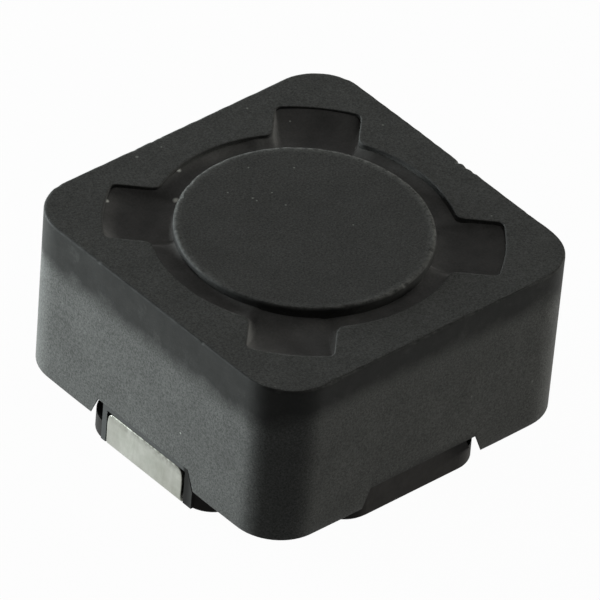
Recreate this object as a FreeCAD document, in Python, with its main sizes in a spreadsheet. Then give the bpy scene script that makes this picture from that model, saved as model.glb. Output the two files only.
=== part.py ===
import FreeCAD, Part
import math
import os
import re
import Sketcher

# Shielded power inductor for surface mounting, 12.5 mm square, about 6.9 mm high.
# Origin: on the board plane, under the centre of the shield. +Z is up and X runs through the two terminals.
# A wound ferrite drum stands on a moulded base inside a square ferrite ring, and black resin fills the gap.

doc = FreeCAD.newDocument("inductor")

# Driving dimensions, in millimetres and degrees

DIMENSIONS = [
    ("shield_side", 12.5, "width of the shield across its flats, at the top"),
    ("shield_lean", 0.07, "how far each side leans in from the top edge to the lower edge"),
    ("shield_height", 5.95, "height of the shield alone"),
    ("shield_lift", 0.85, "height of the shield's lower edge above the board"),
    ("shield_corner", 1.7, "radius of the four upright corners"),
    ("shield_top_round", 0.14, "rounding of the top outer edge"),
    ("shield_wall", 1.4, "wall between the round bore and each side of the shield, at the top"),
    ("notch_width", 2.7, "width of each corner notch of the bore"),
    ("notch_depth", 1.42, "how far the notches reach out past the bore"),
    ("notch_round", 0.22, "rounding of the notches' inner corners"),
    ("lip_round", 0.32, "rounding where a notch opens into the bore"),
    ("slot_foot", 4.9, "width of the lower slots at the shield's lower edge"),
    ("slot_roof", 4.34, "width of the lower slots at their roof"),
    ("slot_height", 0.68, "height of the lower slots"),
    ("core_gap", 0.75, "gap between the drum's discs and the bore"),
    ("disc_proud", 0.1, "how far the drum stands out of the shield's top"),
    ("top_disc", 1.0, "thickness of the top disc"),
    ("bottom_disc", 1.0, "thickness of the bottom disc"),
    ("rim_chamfer", 0.14, "worn chamfer round the top disc"),
    ("wire", 0.4, "diameter of the enamelled wire"),
    ("coil_gap", 0.05, "slack between the post and the first layer"),
    ("coil_layers", 3, "layers of wire"),
    ("coil_margin", 0.7, "distance from the discs' rim in to the wire centres of the outermost layer"),
    ("turn_gap", 0.02, "space between one turn or layer and the next"),
    ("lead_bend", 0.4, "bend radius of the wire ends"),
    ("lead_bend_tight", 0.25, "bend radius where the start lead leaves the coil"),
    ("lead_wrap", 60, "degrees that the finish lead runs along the coil"),
    ("lead_rise", 0.5, "height of the finish lead above the bottom disc"),
    ("lead_play", 0.1, "room on each side of a wire end in the disc's notches and the base's holes"),
    ("long_inset", 0.06, "how far the base's ends with terminals lie inside the shield's lower edge"),
    ("short_inset", 0.46, "how far the base's other two ends lie inside it"),
    ("lobe_margin", 0.6, "how far each of the base's four ends is wider than its slot, on each side"),
    ("lobe_corner", 1.13, "corner radius of the base's ends"),
    ("base_cover", 0.55, "how far the base's round middle reaches out past the bore"),
    ("base_edge", 0.1, "chamfer of the base's lower edge"),
    ("base_clear", 0.05, "height of the base's underside above the board"),
    ("base_thick", 0.4, "thickness of the base's round middle"),
    ("foot_gap", 0.05, "gap between the top of the base's ends and the shield's lower edge"),
    ("base_slip", 0.09, "how far the base was glued off the shield's middle, along -Y"),
    ("boss_clear", 0.15, "gap between the shield's bore and the round boss that enters it"),
    ("boss_rise", 0.15, "how far the boss enters the bore"),
    ("tab_clear", 0.15, "gap on each side between a tab and its slot"),
    ("tab_depth", 0.85, "thickness of the tabs that rise into the slots"),
    ("glue_thick", 0.05, "glue between the drum and the boss"),
    ("glue_inset", 0.9, "how far the glue stops inside the drum's rim"),
    ("terminal_width", 3.56, "width of the terminals"),
    ("terminal_thick", 0.2, "thickness of the terminal sheet"),
    ("terminal_proud", 0.03, "how far a terminal and its block stand out of the base's end"),
    ("terminal_drop", 0.18, "gap between a terminal's top edge and the roof of its slot"),
    ("terminal_corner", 0.3, "radius of the uprights' top corners"),
    ("terminal_bend", 0.05, "inside radius of the bend"),
    ("terminal_lap", 0.27, "how far the foot reaches in past the solder"),
    ("foot_chamfer", 0.25, "chamfer of the foot's inner corners"),
    ("terminal_gap", 0.03, "gap between a terminal and its recess, at its +Y side and over its top"),
    ("terminal_play", 0.14, "gap between a terminal and its recess, at its -Y side"),
    ("solder_width", 0.9, "width of the solder on the foot"),
    ("solder_length", 0.5, "length of the solder along the wire"),
    ("solder_skin", 0.06, "solder above the wire"),
    ("solder_seat", 0.03, "solder between the wire and the foot"),
    ("well_gap", 0.12, "room round the wire and the solder in the well"),
    ("fill_edge", 0.12, "drop of the resin below the shield's top, at the notch walls"),
    ("fill_ring", 0.2, "drop of the resin below the shield's top, at the disc"),
    ("fill_dip", 0.3, "drop of the resin at its lowest"),
]

sizes = doc.addObject("Spreadsheet::Sheet", "sizes")
for row, (alias, value, meaning) in enumerate(DIMENSIONS, 1):
    sizes.set(f"A{row}", alias)
    sizes.set(f"B{row}", str(value))
    sizes.set(f"C{row}", meaning)
    sizes.setAlias(f"B{row}", alias)
doc.recompute()
ALIASES = {alias for alias, value, meaning in DIMENSIONS}


def cell(words):
    """Turns plain alias words into an expression on the sheet."""
    return re.sub(
        r"[a-z_]+", lambda word: "sizes." + word[0] if word[0] in ALIASES else word[0], words)


def number(words):
    """What such an expression comes to, for first guesses and for shapes that no expression can hold."""
    filled = re.sub(
        r"[a-z_]+", lambda word: str(sizes.get(word[0])) if word[0] in ALIASES else word[0], words)
    return FreeCAD.Units.Quantity(filled).Value


# Heights and radii that several pieces share

SHIELD_TOP = "(shield_lift + shield_height)"
SLOT_ROOF = "(shield_lift + slot_height)"
DRUM_TOP = f"({SHIELD_TOP} + disc_proud)"
DISC_UNDER = f"({DRUM_TOP} - top_disc)"
PLATE_TOP = "(base_clear + base_thick)"
ARM_TOP = "(shield_lift - foot_gap)"
BOSS_TOP = "(shield_lift + boss_rise)"
DRUM_FOOT = f"({BOSS_TOP} + glue_thick)"
DISC_TOP = f"({DRUM_FOOT} + bottom_disc)"
COIL_FOOT = f"({DISC_TOP} + coil_gap)"
BORE_RADIUS = "(shield_side / 2 - shield_wall)"
NOTCH_REACH = f"({BORE_RADIUS} + notch_depth)"
DISC_RADIUS = f"({BORE_RADIUS} - core_gap)"
PITCH = "(wire + turn_gap)"
COIL_RADIUS = f"({DISC_RADIUS} - coil_margin)"
COIL_BORE = f"({COIL_RADIUS} - (coil_layers - 0.5) * {PITCH})"
POST_RADIUS = f"({COIL_BORE} - coil_gap)"
WRAP_RADIUS = f"({COIL_RADIUS} + wire)"
LEAD_X = f"sqrt({WRAP_RADIUS}^2 + lead_bend^2)"
LEAD_ROOM = "(wire / 2 + lead_play)"
SOLDER_X = f"({LEAD_X} + lead_bend)"
BASE_LONG = "(shield_side / 2 - shield_lean - long_inset)"
BASE_SHORT = "(shield_side / 2 - shield_lean - short_inset)"
BASE_DISC = f"({BORE_RADIUS} + base_cover)"
TERMINAL_X = f"({BASE_LONG} + terminal_proud)"
TERMINAL_TOP = f"({SLOT_ROOF} - terminal_drop)"
FOOT_TIP = f"({SOLDER_X} - terminal_lap)"
WIRE_SEAT = "(terminal_thick + solder_seat + wire / 2)"
SOLDER_TOP = f"({WIRE_SEAT} + wire / 2 + solder_skin)"


# Helpers for sketches and features


def plane(body, role):
    """One of the body's own origin planes or axes."""
    return next(f for f in body.Origin.OriginFeatures if f.Role == role)


def turned(angle):
    """A placement at the origin, rotated about the upright axis."""
    return FreeCAD.Placement(FreeCAD.Vector(0, 0, 0), FreeCAD.Rotation(FreeCAD.Vector(0, 0, 1), angle))


def new_body(label, slip=False, turn=0):
    """A body; slip moves it with the base, turn rotates it about the upright axis."""
    body = doc.addObject("PartDesign::Body", label)
    body.Label = label
    body.Placement = turned(turn)
    if slip:
        body.setExpression("Placement.Base.y", cell("-base_slip"))
    return body


def new_sketch(body, name, role, height="0", turn=0):
    """A sketch on an origin plane, moved along the plane's normal by height and turned in the plane."""
    sketch = body.newObject("Sketcher::SketchObject", body.Name + "_" + name)
    sketch.AttachmentSupport = (plane(body, role), [""])
    sketch.MapMode = "FlatFace"
    sketch.AttachmentOffset = turned(turn)
    sketch.setExpression("AttachmentOffset.Base.z", cell(height))
    return sketch


def bind(sketch, constraint, words):
    """Adds a constraint and ties its value to the sheet."""
    index = sketch.addConstraint(constraint)
    sketch.setExpression(f"Constraints[{index}]", cell(words))


def place(sketch, element, end, x, y):
    """Ties a point of the sketch to coordinates from the sheet."""
    bind(sketch, Sketcher.Constraint("DistanceX", -1, 1, element, end, 1.0), x)
    bind(sketch, Sketcher.Constraint("DistanceY", -1, 1, element, end, 1.0), y)


def polygon(sketch, corners):
    """A closed outline of straight lines; each corner is a pair of expressions."""
    count = len(corners)
    turns = [2 * math.pi * i / count for i in range(count)]
    ring = [FreeCAD.Vector(math.cos(angle), math.sin(angle), 0) for angle in turns]
    lines = [sketch.addGeometry(Part.LineSegment(ring[i], ring[(i + 1) % count])) for i in range(count)]
    for i in range(count):
        sketch.addConstraint(Sketcher.Constraint("Coincident", lines[i], 2, lines[(i + 1) % count], 1))
    for line, (x, y) in zip(lines, corners):
        place(sketch, line, 1, x, y)


def rectangle(sketch, x0, x1, y0, y1):
    """A rectangle between two expressions each way."""
    polygon(sketch, [(x0, y0), (x1, y0), (x1, y1), (x0, y1)])


def rounded(sketch, half_x, half_y, corner):
    """A rectangle about the origin whose four lines are joined by tangent arcs."""
    x, y, radius = number(half_x), number(half_y), number(corner)
    up = FreeCAD.Vector(0, 0, 1)
    arcs, sides = [], []
    for quarter, (right, top) in enumerate(((1, -1), (1, 1), (-1, 1), (-1, -1))):
        centre = FreeCAD.Vector(right * (x - radius), top * (y - radius), 0)
        start = (quarter - 1) * math.pi / 2
        arcs.append(Part.ArcOfCircle(Part.Circle(centre, up, radius), start, start + math.pi / 2))
    for arc, following in zip(arcs, arcs[1:] + arcs[:1]):
        sides.append(Part.LineSegment(arc.EndPoint, following.StartPoint))
    arcs = [sketch.addGeometry(arc) for arc in arcs]
    sides = [sketch.addGeometry(side) for side in sides]
    for i in range(4):
        sketch.addConstraint(Sketcher.Constraint("Tangent", arcs[i], 2, sides[i], 1))
        sketch.addConstraint(Sketcher.Constraint("Tangent", sides[i], 2, arcs[(i + 1) % 4], 1))
        bind(sketch, Sketcher.Constraint("Radius", arcs[i], radius), corner)
    for i, (kind, reach) in enumerate((("DistanceX", half_x), ("DistanceY", half_y),
                                       ("DistanceX", "-" + half_x), ("DistanceY", "-" + half_y))):
        bind(sketch, Sketcher.Constraint(kind, -1, 1, sides[i], 1, number(reach)), reach)


def circle(sketch, radius, x="0", y="0"):
    """A circle with its centre and radius from the sheet."""
    ring = sketch.addGeometry(Part.Circle(FreeCAD.Vector(0, 0, 0), FreeCAD.Vector(0, 0, 1), 1.0))
    place(sketch, ring, 3, x, y)
    bind(sketch, Sketcher.Constraint("Radius", ring, 1.0), radius)


def feature(kind, body, name, sketch, **settings):
    """A sketch-based feature with plain settings; a length given as words is tied to the sheet."""
    made = body.newObject("PartDesign::" + kind, body.Name + "_" + name)
    made.Profile = sketch
    length = settings.pop("length", None)
    for key, setting in settings.items():
        setattr(made, key, setting)
    if length is not None:
        made.setExpression("Length", cell(length))
    doc.recompute()
    return made


def pad(body, name, sketch, length, **settings):
    return feature("Pad", body, name, sketch, length=length, **settings)


def pocket(body, name, sketch, length=None, **settings):
    """A cut that has to take something away: its volume is compared with the solid before it."""
    before = body.Shape.Volume
    if length is None:
        settings["Type"] = "ThroughAll"
    made = feature("Pocket", body, name, sketch, length=length, **settings)
    assert body.Shape.Volume < before - 1e-6, made.Name + " cut nothing"
    return made


def revolve(kind, body, name, sketch):
    """A full turn about the body's upright axis."""
    return feature(kind, body, name, sketch, ReferenceAxis=(plane(body, "Z_Axis"), [""]), Angle=360.0)


def repeat(kind, body, name, originals, **settings):
    """A mirror or pattern of the given features, which becomes the body's tip."""
    made = body.newObject("PartDesign::" + kind, body.Name + "_" + name)
    made.Originals = originals
    for key, setting in settings.items():
        setattr(made, key, setting)
    body.Tip = made
    doc.recompute()
    return made


def around(body, name, originals, copies, angle=360.0):
    axis = (plane(body, "Z_Axis"), [""])
    return repeat("PolarPattern", body, name, originals, Axis=axis, Angle=angle, Occurrences=copies)


def mirror(body, name, originals, role):
    return repeat("Mirrored", body, name, originals, MirrorPlane=(plane(body, role), [""]))


def dress(kind, body, name, words, wanted):
    """A fillet or chamfer on the edges that the test wanted picks from the body's tip."""
    tip = body.Tip
    names = [f"Edge{i}" for i, edge in enumerate(tip.Shape.Edges, 1) if wanted(edge)]
    assert names, name + " found no edge"
    made = body.newObject("PartDesign::" + kind, body.Name + "_" + name)
    made.Base = (tip, names)
    made.setExpression("Radius" if kind == "Fillet" else "Size", cell(words))
    doc.recompute()
    return made


def middle(edge):
    """The point half way along an edge."""
    return edge.valueAt((edge.FirstParameter + edge.LastParameter) / 2)


def upright(edge):
    """True for a straight edge that runs along Z, or nearly."""
    ends = [v.Point for v in edge.Vertexes]
    if len(ends) != 2:
        return False
    run = ends[1] - ends[0]
    return edge.Length < 1.001 * run.Length and abs(run.z) > 0.95 * run.Length


def near(value, target):
    return abs(value - target) < 0.02


def out(point):
    """Distance of a point from the upright axis."""
    return math.hypot(point.x, point.y)


# Shield: pressed and sintered ferrite ring, square outside, round bore with four corner notches


def notch_sketch(body, height="0"):
    """One notch on the +X+Y diagonal: parallel sides and an outer wall concentric with the bore."""
    sketch = new_sketch(body, "notch_sketch", "XY_Plane", height, turn=45)
    half = number("notch_width") / 2
    reach = number(NOTCH_REACH)
    inner = number(POST_RADIUS)
    swing = math.asin(half / reach)
    far = reach * math.cos(swing)
    centre = FreeCAD.Vector(0, 0, 0)
    corners = [FreeCAD.Vector(*p, 0) for p in ((inner, -half), (far, -half), (far, half), (inner, half))]
    low = sketch.addGeometry(Part.LineSegment(corners[0], corners[1]))
    rim = Part.Circle(centre, FreeCAD.Vector(0, 0, 1), reach)
    wall = sketch.addGeometry(Part.ArcOfCircle(rim, -swing, swing))
    high = sketch.addGeometry(Part.LineSegment(corners[2], corners[3]))
    back = sketch.addGeometry(Part.LineSegment(corners[3], corners[0]))
    for line, following in ((low, wall), (wall, high), (high, back), (back, low)):
        sketch.addConstraint(Sketcher.Constraint("Coincident", line, 2, following, 1))
    sketch.addConstraint(Sketcher.Constraint("Coincident", wall, 3, -1, 1))
    sketch.addConstraint(Sketcher.Constraint("Horizontal", low))
    sketch.addConstraint(Sketcher.Constraint("Horizontal", high))
    place(sketch, low, 1, POST_RADIUS, "-notch_width / 2")
    place(sketch, high, 2, POST_RADIUS, "notch_width / 2")
    bind(sketch, Sketcher.Constraint("Radius", wall, reach), NOTCH_REACH)
    return sketch


def notch_edge(edge, radius):
    """True for an upright edge at this radius that lies in a side wall of a notch."""
    point = middle(edge)
    aside = abs(abs(point.x) - abs(point.y)) / math.sqrt(2)
    return upright(edge) and near(out(point), number(radius)) and near(aside, number("notch_width / 2"))


def make_shield():
    body = new_body("shield_core")
    top = new_sketch(body, "top_sketch", "XY_Plane", SHIELD_TOP)
    half = "shield_side / 2"
    rectangle(top, "-" + half, half, "-" + half, half)
    foot = new_sketch(body, "foot_sketch", "XY_Plane", "shield_lift")
    narrow = "(shield_side / 2 - shield_lean)"
    rectangle(foot, "-" + narrow, narrow, "-" + narrow, narrow)
    block = body.newObject("PartDesign::AdditiveLoft", "shield_core_block")
    block.Profile = top
    block.Sections = [foot]
    block.Ruled = True
    doc.recompute()
    dress("Fillet", body, "corners", "shield_corner", upright)
    top_z = number(SHIELD_TOP)
    dress("Fillet", body, "top_edge", "shield_top_round", lambda e: near(e.BoundBox.ZMin, top_z))
    bore = new_sketch(body, "bore_sketch", "XY_Plane")
    circle(bore, BORE_RADIUS)
    pocket(body, "bore", bore, SideType="Symmetric")
    notch_cut = pocket(body, "notch", notch_sketch(body), SideType="Symmetric")
    around(body, "notches", [notch_cut], 4)
    dress("Fillet", body, "notch_corners", "notch_round", lambda e: notch_edge(e, NOTCH_REACH))
    dress("Fillet", body, "notch_lips", "lip_round", lambda e: notch_edge(e, BORE_RADIUS))
    slot = new_sketch(body, "slot_sketch", "XZ_Plane")
    below = "shield_lift - slot_height / 4"
    flare = "(slot_foot / 2 + (slot_foot - slot_roof) / 8)"
    roof = "slot_roof / 2"
    polygon(slot, [("-" + flare, below), (flare, below), (roof, SLOT_ROOF), ("-" + roof, SLOT_ROOF)])
    slot_cut = pocket(body, "slot", slot, SideType="Symmetric")
    around(body, "slots", [slot_cut], 2, 90.0)


# Drum core: ferrite disc, post and disc, turned in one piece, with the wire's way out cut in the lower disc


def make_drum():
    body = new_body("drum_core")
    side = new_sketch(body, "side_sketch", "XZ_Plane")
    polygon(side, [
        ("0", DRUM_FOOT), (DISC_RADIUS, DRUM_FOOT), (DISC_RADIUS, DISC_TOP), (POST_RADIUS, DISC_TOP),
        (POST_RADIUS, DISC_UNDER), (DISC_RADIUS, DISC_UNDER), (DISC_RADIUS, DRUM_TOP + " - rim_chamfer"),
        (DISC_RADIUS + " - rim_chamfer", DRUM_TOP), ("0", DRUM_TOP)])
    revolve("Revolution", body, "turned", side)
    notch = new_sketch(body, "notch_sketch", "XY_Plane", DRUM_FOOT)
    rectangle(notch, f"{LEAD_X} - {LEAD_ROOM}", DISC_RADIUS + " + wire", "-" + LEAD_ROOM, LEAD_ROOM)
    notch_cut = pocket(body, "notch", notch, "bottom_disc", Reversed=True)
    mirror(body, "notches", [notch_cut], "YZ_Plane")
    groove = new_sketch(body, "groove_sketch", "XY_Plane", DISC_TOP)
    rectangle(groove, f"-{DISC_RADIUS} - wire", f"lead_play - {POST_RADIUS}", "-" + LEAD_ROOM, LEAD_ROOM)
    pocket(body, "groove", groove, "wire + 2 * coil_gap")


# Winding: enamelled copper wire in closed layers on the post


def make_winding():
    body = new_body("winding")
    turns = int(number(f"({DISC_UNDER} - {COIL_FOOT} - wire) / {PITCH}")) + 1
    first = f"({COIL_FOOT} + wire / 2)"
    rise = f"({turns - 1} * {PITCH})"
    layers = new_sketch(body, "layers_sketch", "XZ_Plane")
    rectangle(layers, COIL_BORE, COIL_RADIUS + " + wire / 8",
              first + " - wire / 4", f"{first} + {rise} + wire / 4")
    revolve("Revolution", body, "layers", layers)
    turn = new_sketch(body, "turn_sketch", "XZ_Plane")
    crown = COIL_RADIUS + " + wire / 2"
    polygon(turn, [
        (COIL_RADIUS, first + " - wire / 2"), (crown, first + " - wire / 5"),
        (crown, first + " + wire / 5"), (COIL_RADIUS, first + " + wire / 2")])
    outer_turn = revolve("Revolution", body, "turn", turn)
    upward = (plane(body, "Z_Axis"), [""])
    outer = repeat("LinearPattern", body, "turns", [outer_turn], Direction=upward, Occurrences=turns)
    outer.setExpression("Length", cell(rise))


# Lead wires: the coil's two ends, bent down through the lower disc and out onto the terminals' feet


def wire_solid(label, runs, turn):
    """A wire of twelve flats swept along joined edges, checked against its section times its length."""
    route = Part.Wire(runs)
    start = route.Edges[0].valueAt(route.Edges[0].FirstParameter)
    heading = route.Edges[0].tangentAt(route.Edges[0].FirstParameter)
    across = FreeCAD.Vector(0, 1, 0) if abs(heading.y) < 0.5 else FreeCAD.Vector(0, 0, 1)
    spoke = (across - heading * across.dot(heading)).normalize() * number("wire / 2")
    rim = [start + FreeCAD.Rotation(heading, angle).multVec(spoke) for angle in range(0, 360, 30)]
    profile = Part.makePolygon(rim + rim[:1])
    solid = route.makePipeShell([profile], True, False)
    wanted = Part.Face(profile).Area * route.Length
    assert abs(solid.Volume - wanted) < 0.01 * wanted, label + " has the wrong volume"
    lead = doc.addObject("Part::Feature", label)
    lead.Label = label
    lead.Shape = solid
    lead.Placement = turned(turn)


def bend(start, heading, turned_to, radius):
    """A quarter-circle bend from one heading to another at right angles; returns the arc and its end."""
    centre = start + turned_to * radius
    half_way = centre - (turned_to - heading).normalize() * radius
    end = start + (heading + turned_to) * radius
    return Part.Arc(start, half_way, end).toShape(), end


def drop_to_foot(top):
    """From the top of the upright run down to the terminal's foot and out along it."""
    down = FreeCAD.Vector(0, 0, -1)
    ahead = FreeCAD.Vector(1, 0, 0)
    radius = number("lead_bend")
    low = FreeCAD.Vector(top.x, 0, number(WIRE_SEAT) + radius)
    curve, landing = bend(low, down, ahead, radius)
    tail = landing + ahead * number("solder_length + well_gap")
    return [Part.LineSegment(top, low).toShape(), curve, Part.LineSegment(landing, tail).toShape()]


def make_finish_lead():
    """Leaves the outermost layer, hugs it for part of a turn and bends down through the disc's notch."""
    wrap = number(WRAP_RADIUS)
    radius = number("lead_bend")
    level = number(DISC_TOP + " + lead_rise")
    last = -math.atan2(radius, wrap)
    first = last - math.radians(number("lead_wrap"))

    def on_coil(angle):
        return FreeCAD.Vector(wrap * math.cos(angle), wrap * math.sin(angle), level)

    hug = Part.Arc(on_coil(first), on_coil((first + last) / 2), on_coil(last)).toShape()
    heading = FreeCAD.Vector(-math.sin(last), math.cos(last), 0)
    curve, top = bend(on_coil(last), heading, FreeCAD.Vector(0, 0, -1), radius)
    top.y = 0
    wire_solid("lead_wire_finish", [hug, curve] + drop_to_foot(top), 0)


def make_start_lead():
    """Leaves the innermost layer downwards and runs out in the disc's groove. Drawn along +X, then turned."""
    tight = number("lead_bend_tight")
    radius = number("lead_bend")
    ahead = FreeCAD.Vector(1, 0, 0)
    down = FreeCAD.Vector(0, 0, -1)
    root = FreeCAD.Vector(number(COIL_BORE + " + wire / 2"), 0, number(COIL_FOOT + " + wire / 4"))
    turn_off = FreeCAD.Vector(root.x, 0, number(DISC_TOP + " - wire / 2") + tight)
    stub = Part.LineSegment(root, turn_off).toShape()
    first, level = bend(turn_off, down, ahead, tight)
    brink = FreeCAD.Vector(number(LEAD_X) - radius, 0, level.z)
    run = Part.LineSegment(level, brink).toShape()
    second, top = bend(brink, ahead, down, radius)
    wire_solid("lead_wire_start", [stub, first, run, second] + drop_to_foot(top), 180)


# Base: moulded plate with a round middle and four ends, tabs that rise into the shield's slots


def make_base():
    body = new_body("base_plate", slip=True)
    disc = new_sketch(body, "disc_sketch", "XY_Plane", "base_clear")
    circle(disc, BASE_DISC)
    pad(body, "disc", disc, "base_thick")
    lobe = "(slot_foot / 2 + lobe_margin)"
    for name, half_x, half_y in (("long_arm", BASE_LONG, lobe), ("short_arm", lobe, BASE_SHORT)):
        arm = new_sketch(body, name + "_sketch", "XY_Plane", "base_clear")
        rounded(arm, half_x, half_y, "lobe_corner")
        pad(body, name, arm, ARM_TOP + " - base_clear")
    dress("Chamfer", body, "lower_edge", "base_edge", lambda e: near(e.BoundBox.ZMax, number("base_clear")))
    boss = new_sketch(body, "boss_sketch", "XY_Plane", PLATE_TOP)
    circle(boss, BORE_RADIUS + " - boss_clear")
    pad(body, "boss", boss, f"{BOSS_TOP} - {PLATE_TOP}")

    # tabs that rise to the slots' roof, slanted as the slots' ends are: the short ones stand on their ends,
    # the long ones are blocks that hold the terminals, flush with them, with an upright +Y side
    tab_foot = "(slot_foot / 2 - tab_clear)"
    tab_roof = "(slot_roof / 2 - tab_clear)"
    heel = "(base_clear + base_edge)"
    block = [("-" + tab_foot, heel), ("-" + tab_foot, ARM_TOP), ("-" + tab_roof, SLOT_ROOF),
             (tab_roof, SLOT_ROOF), (tab_roof, heel)]
    tongue = [("-" + tab_foot, ARM_TOP), ("-" + tab_roof, SLOT_ROOF),
              (tab_roof, SLOT_ROOF), (tab_foot, ARM_TOP)]
    for name, role, face, corners in (("long_tab", "YZ_Plane", TERMINAL_X, block),
                                      ("short_tab", "XZ_Plane", BASE_SHORT, tongue)):
        tab = new_sketch(body, name + "_sketch", role, face)
        polygon(tab, corners)
        tab_pad = pad(body, name, tab, "tab_depth", Reversed=True)
        mirror(body, name + "s", [tab_pad], role)

    # recess for the terminal: up its block as deep as the sheet, and a flat pocket under the plate
    left = "-(terminal_width / 2 + terminal_play)"
    right = "(terminal_width / 2 + terminal_gap)"
    recess = new_sketch(body, "recess_sketch", "YZ_Plane", TERMINAL_X)
    rectangle(recess, left, right, "0", TERMINAL_TOP + " + terminal_gap")
    recess_cut = pocket(body, "recess", recess, "terminal_thick")
    foot = new_sketch(body, "foot_sketch", "XY_Plane", "0")
    rectangle(foot, FOOT_TIP + " - terminal_gap", TERMINAL_X, left, right)
    foot_cut = pocket(body, "foot", foot, "terminal_thick", Reversed=True)

    # solder well under the plate, and the hole that the wire comes down through: both line up with the drum
    well = new_sketch(body, "well_sketch", "XY_Plane", "0")
    well_side = "(solder_width / 2 + well_gap)"
    rectangle(well, LEAD_X + " - wire / 2 - well_gap", SOLDER_X + " + solder_length + 2 * well_gap",
              "base_slip - " + well_side, "base_slip + " + well_side)
    well_cut = pocket(body, "well", well, SOLDER_TOP + " + well_gap", Reversed=True)
    hole = new_sketch(body, "hole_sketch", "XY_Plane", "0")
    circle(hole, LEAD_ROOM, LEAD_X, "base_slip")
    hole_cut = pocket(body, "hole", hole, Reversed=True)
    mirror(body, "both_ends", [recess_cut, foot_cut, well_cut, hole_cut], "YZ_Plane")
    seat = number(f"{right} - ({left})")
    back = number(f"{TERMINAL_X} - terminal_thick")
    thick = number("terminal_thick")

    def bend_seat(edge):
        point = middle(edge)
        return near(edge.BoundBox.YLength, seat) and near(abs(point.x), back) and near(point.z, thick)

    dress("Fillet", body, "bend_seats", "terminal_bend", bend_seat)


# Terminals: tinned sheet bent once, an upright on the base's end and a foot under it


def make_terminal(label, turn):
    body = new_body(label, slip=True, turn=turn)
    side = new_sketch(body, "side_sketch", "XZ_Plane")
    inner = f"({TERMINAL_X} - terminal_thick)"
    polygon(side, [
        (FOOT_TIP, "0"), (TERMINAL_X, "0"), (TERMINAL_X, TERMINAL_TOP),
        (inner, TERMINAL_TOP), (inner, "terminal_thick"), (FOOT_TIP, "terminal_thick")])
    pad(body, "sheet", side, "terminal_width", SideType="Symmetric")
    face = number(TERMINAL_X)
    thick = number("terminal_thick")

    def along_y(edge, x, z):
        box = edge.BoundBox
        return near(box.YLength, number("terminal_width")) and near(box.XMin, x) and near(box.ZMin, z)

    dress("Fillet", body, "bend_outside", "terminal_bend + terminal_thick", lambda e: along_y(e, face, 0))
    dress("Fillet", body, "bend_inside", "terminal_bend", lambda e: along_y(e, face - thick, thick))
    dress("Fillet", body, "top_corners", "terminal_corner",
          lambda e: near(e.BoundBox.ZMin, number(TERMINAL_TOP)) and near(e.BoundBox.XLength, thick))
    dress("Chamfer", body, "foot_corners", "foot_chamfer",
          lambda e: near(e.BoundBox.XMax, number(FOOT_TIP)) and near(e.BoundBox.ZLength, thick))


# Solder: a fillet over the wire's end on the foot, with the wire's own hole through it


def make_solder(label, turn):
    body = new_body(label, turn=turn)
    section = new_sketch(body, "section_sketch", "YZ_Plane", SOLDER_X)
    half = "solder_width / 2"
    cap = "(wire / 2 + solder_skin)"
    brow = SOLDER_TOP + " - solder_skin"
    polygon(section, [
        ("-" + half, "terminal_thick"), (half, "terminal_thick"), (cap, WIRE_SEAT), (cap, brow),
        (cap + " / 2", SOLDER_TOP), (f"-{cap} / 2", SOLDER_TOP), ("-" + cap, brow), ("-" + cap, WIRE_SEAT)])
    circle(section, "wire / 2", "0", WIRE_SEAT)
    pad(body, "fillet", section, "solder_length")


# Glue under the drum: a thin round layer on the boss


def make_adhesive():
    body = new_body("core_adhesive")
    layer = new_sketch(body, "layer_sketch", "XY_Plane", BOSS_TOP)
    circle(layer, DISC_RADIUS + " - glue_inset")
    pad(body, "layer", layer, "glue_thick")


# Casting resin: fills the notched bore round the top disc, with a hollow surface where it wetted the walls


def make_epoxy():
    body = new_body("core_epoxy")
    depth = f"{SHIELD_TOP} - {DISC_UNDER}"
    ring = new_sketch(body, "ring_sketch", "XY_Plane", DISC_UNDER)
    circle(ring, BORE_RADIUS)
    pad(body, "ring", ring, depth)
    notch_pad = pad(body, "notch", notch_sketch(body, DISC_UNDER), depth)
    around(body, "notches", [notch_pad], 4)
    dress("Fillet", body, "notch_corners", "notch_round", lambda e: notch_edge(e, NOTCH_REACH))
    dress("Fillet", body, "notch_lips", "lip_round", lambda e: notch_edge(e, BORE_RADIUS))
    disc = new_sketch(body, "disc_sketch", "XY_Plane", "0")
    circle(disc, DISC_RADIUS)
    pocket(body, "disc", disc, SideType="Symmetric")
    hollow = new_sketch(body, "hollow_sketch", "XZ_Plane")
    polygon(hollow, [
        ("0", SHIELD_TOP + " - fill_ring"), (DISC_RADIUS, SHIELD_TOP + " - fill_ring"),
        (BORE_RADIUS, SHIELD_TOP + " - fill_dip"), (NOTCH_REACH, SHIELD_TOP + " - fill_edge"),
        ("shield_side", SHIELD_TOP + " - fill_edge"), ("shield_side", SHIELD_TOP + " + disc_proud"),
        ("0", SHIELD_TOP + " + disc_proud")])
    revolve("Groove", body, "hollow", hollow)


# The whole object

make_shield()
make_drum()
make_winding()
make_finish_lead()
make_start_lead()
make_base()
make_terminal("terminal_right", 0)
make_terminal("terminal_left", 180)
make_solder("solder_joint_right", 0)
make_solder("solder_joint_left", 180)
make_adhesive()
make_epoxy()
doc.recompute()

for item in doc.Objects:
    assert not {"Invalid", "Error"} & set(item.State), f"{item.Name} failed: {item.State}"

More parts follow.
